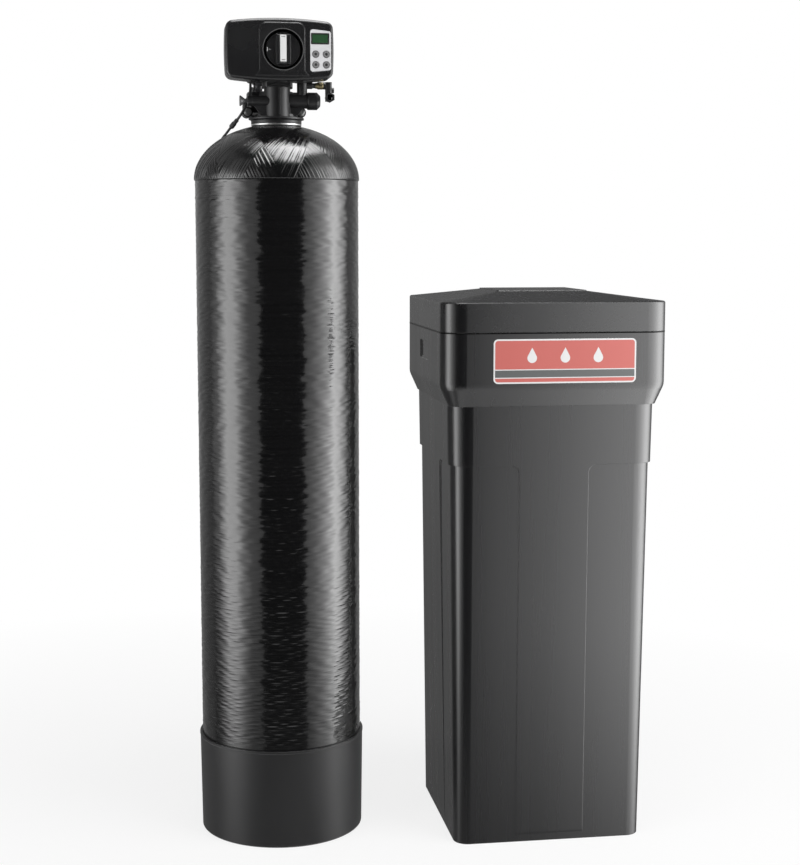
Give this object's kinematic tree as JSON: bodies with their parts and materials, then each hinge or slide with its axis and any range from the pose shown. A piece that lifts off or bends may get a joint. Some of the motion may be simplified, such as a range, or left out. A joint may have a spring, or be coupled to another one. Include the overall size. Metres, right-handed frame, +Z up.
{
  "type": "water softener",
  "caption": "Twin-tank water softener: wound resin tank with a piston valve and control head, and a square brine tank with a lift-off lid.",
  "frame": {"origin": "middle of the resin tank's base on the floor", "axes": "+Z up along the resin tank, front of the control head towards -Y, brine tank towards +X"},
  "size_m": [0.7241, 0.4203, 1.288],
  "materials": {
    "boot_plastic": "moulded, satin",
    "wound_shell": "glossy resin over wound strands",
    "liner_plastic": "natural",
    "resin_beads": "amber beads",
    "white_plastic": "smooth",
    "valve_plastic": "glass-filled, satin",
    "screw_steel": "plated",
    "seal_rubber": "matte",
    "piston_metal": "turned",
    "injector_plastic": "smooth",
    "fitting_brass": "dull",
    "knob_grey": "smooth",
    "cover_plastic": "semi-gloss",
    "keypad_film": "silver film",
    "display_glass": "smooth",
    "key_grey": "satin",
    "board_green": "solder mask",
    "gear_nylon": "natural nylon",
    "bracket_plastic": "satin",
    "motor_can": "plated",
    "cord_rubber": "satin",
    "transformer_case": "textured",
    "brine_plastic": "moulded polyethylene"
  },
  "bodies": {
    "root": {"base_boot": "boot_plastic", "blend_gland": "valve_plastic", "bracket_screws": "screw_steel", "brass_fitting": "fitting_brass", "brine_elbow": "valve_plastic", "brine_tank": "brine_plastic", "brine_valve": "valve_plastic", "brine_well": "white_plastic", "cord_coil": "cord_rubber", "cord_grommet": "seal_rubber", "drain_fitting": "valve_plastic", "drive_bracket": "bracket_plastic", "drive_motor": "motor_can", "elbow_nut": "valve_plastic", "end_plug": "valve_plastic", "injector_cap": "valve_plastic", "injector_throat": "injector_plastic", "inline_connector": "cord_rubber", "lower_basket": "white_plastic", "lug_screws": "screw_steel", "meter_body": "valve_plastic", "meter_cable": "cord_rubber", "meter_cap": "valve_plastic", "overflow_elbow": "valve_plastic", "pipe_ends": "valve_plastic", "power_cord": "cord_rubber", "power_lead": "cord_rubber", "rear_housing": "cover_plastic", "resin_bed": "resin_beads", "riser_tube": "white_plastic", "rubber_seals": "seal_rubber", "safety_valve": "white_plastic", "salt_grid": "white_plastic", "seal_spacers": "white_plastic", "tank_adapter": "valve_plastic", "tank_liner": "liner_plastic", "tank_neck": "liner_plastic", "tank_winding": "wound_shell", "upper_basket": "white_plastic", "valve_body": "valve_plastic", "wall_transformer": "transformer_case"},
    "piston": {"valve_piston": "piston_metal", "piston_rod": "piston_metal"},
    "stem": {"brine_stem": "injector_plastic"},
    "blending_stem": {"blend_knob": "knob_grey"},
    "turbine": {"meter_turbine": "white_plastic"},
    "pinion": {"motor_pinion": "gear_nylon"},
    "dial": {"main_gear": "gear_nylon", "dial_knob": "cover_plastic"},
    "cover": {"front_cover": "cover_plastic", "keypad_panel": "keypad_film", "display": "display_glass", "circuit_board": "board_green"},
    "button_1": {"key_1": "key_grey"},
    "button_2": {"key_2": "key_grey"},
    "button_3": {"key_3": "key_grey"},
    "button_4": {"key_4": "key_grey"},
    "lid": {"brine_lid": "brine_plastic"},
    "cap": {"well_cap": "white_plastic"},
    "float": {"float_rod": "white_plastic"}
  },
  "joints": [
    {"name": "piston_stroke", "type": "slide", "parent": "root", "child": "piston", "axis": [0, 0, 1], "range_m": [0, 0.016]},
    {"name": "brine_stem_press", "type": "slide", "parent": "root", "child": "stem", "axis": [0, 0, -1], "range_m": [0, 0.004], "stiffness_N_per_m": 300},
    {"name": "blend_turn", "type": "hinge", "parent": "root", "child": "blending_stem", "pos_m": [-0.05, -0.028, 1.168], "axis": [-1, 0, 0], "range_deg": [0, 270]},
    {"name": "turbine_spin", "type": "hinge", "parent": "root", "child": "turbine", "pos_m": [-0.027, 0.08, 1.168], "axis": [0, 1, 0], "continuous": true},
    {"name": "dial_turn", "type": "hinge", "parent": "root", "child": "dial", "pos_m": [0.0047, -0.04, 1.241], "axis": [0, -1, 0], "continuous": true},
    {"name": "pinion_turn", "type": "hinge", "parent": "root", "child": "pinion", "pos_m": [-0.0303, -0.037, 1.241], "axis": [0, -1, 0], "continuous": true},
    {"name": "cover_pull", "type": "slide", "parent": "root", "child": "cover", "axis": [0, -1, 0], "range_m": [0, 0.06]},
    {"name": "key_1_press", "type": "slide", "parent": "cover", "child": "button_1", "axis": [0, 1, 0], "range_m": [0, 0.0008], "stiffness_N_per_m": 400},
    {"name": "key_2_press", "type": "slide", "parent": "cover", "child": "button_2", "axis": [0, 1, 0], "range_m": [0, 0.0008], "stiffness_N_per_m": 400},
    {"name": "key_3_press", "type": "slide", "parent": "cover", "child": "button_3", "axis": [0, 1, 0], "range_m": [0, 0.0008], "stiffness_N_per_m": 400},
    {"name": "key_4_press", "type": "slide", "parent": "cover", "child": "button_4", "axis": [0, 1, 0], "range_m": [0, 0.0008], "stiffness_N_per_m": 400},
    {"name": "lid_lift", "type": "slide", "parent": "root", "child": "lid", "axis": [0, 0, 1], "range_m": [0, 0.3]},
    {"name": "well_cap_lift", "type": "slide", "parent": "root", "child": "cap", "axis": [0, 0, 1], "range_m": [0, 0.05]},
    {"name": "float_rise", "type": "slide", "parent": "root", "child": "float", "axis": [0, 0, 1], "range_m": [0, 0.025]}
  ],
  "couplings": [
    {"joint": "pinion_turn", "follows": "dial_turn", "ratio": -4}
  ]
}
